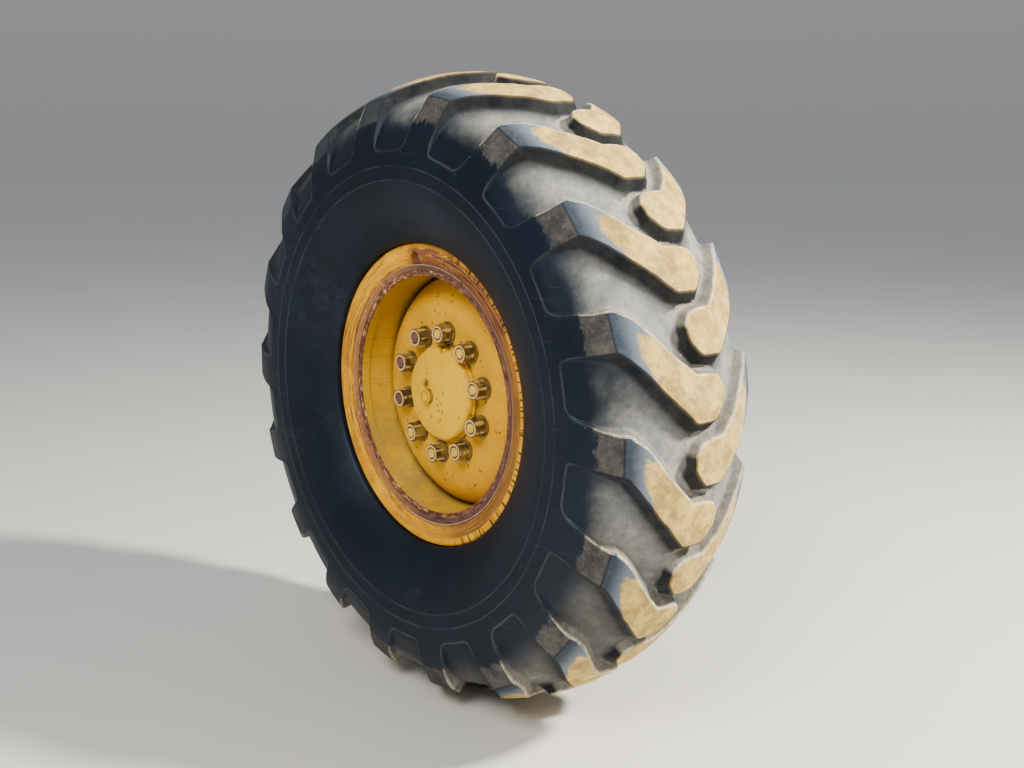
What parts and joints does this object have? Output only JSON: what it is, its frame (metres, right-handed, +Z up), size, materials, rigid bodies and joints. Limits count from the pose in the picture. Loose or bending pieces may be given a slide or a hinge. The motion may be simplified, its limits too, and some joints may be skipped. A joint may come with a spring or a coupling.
{
  "type": "motor grader front wheel with hub, steering knuckle and leaning yoke",
  "caption": "Lugged tyre on a dished, split-ring wheel bolted to a hub that spins on a knuckle's spindle; the knuckle steers on a kingpin held by a leaning yoke.",
  "frame": {"origin": "centre of the yoke's lower eye, where the axle's pin goes", "axes": "+X forward on the machine along the axle's pin, +Y inboard along the wheel's axis, +Z up"},
  "size_m": [1.449, 0.6393, 1.449],
  "materials": {
    "tyre_rubber": "worn black rubber with dusty tan lug tops",
    "rim_paint": "faded golden yellow paint",
    "flange_paint": "yellow paint with orange rust stains and nicks",
    "ring_steel": "bare steel with purple brown rust",
    "disc_paint": "faded yellow paint with dark specks",
    "hub_paint": "faded yellow paint",
    "cap_paint": "faded yellow paint, scuffed",
    "stud_steel": "steel with paint and rust on its ends",
    "nut_steel": "worn yellow paint over dark steel",
    "axle_paint": "faded yellow paint over a casting",
    "bearing_steel": "ground steel"
  },
  "bodies": {
    "yoke": {"yoke": "axle_paint", "kingpin": "bearing_steel"},
    "knuckle": {"knuckle": "axle_paint", "upper_pin_cover": "axle_paint", "lower_pin_cover": "axle_paint", "upper_thrust_washer": "bearing_steel", "lower_thrust_washer": "bearing_steel"},
    "wheel": {"tyre": "tyre_rubber", "rim_base": "rim_paint", "side_ring": "flange_paint", "lock_ring": "ring_steel", "wheel_disc": "disc_paint", "hub": "hub_paint", "hub_cap": "cap_paint", "cap_plug": "cap_paint", "wheel_studs": "stud_steel", "wheel_nuts": "nut_steel"}
  },
  "joints": [
    {"name": "steering", "type": "hinge", "parent": "yoke", "child": "knuckle", "pos_m": [0, -0.2, 0.1], "axis": [0, 0, 1], "range_deg": [-47.5, 47.5]},
    {"name": "wheel_spin", "type": "hinge", "parent": "knuckle", "child": "wheel", "pos_m": [0, -0.36, 0.1], "axis": [0, 1, 0], "continuous": true}
  ]
}
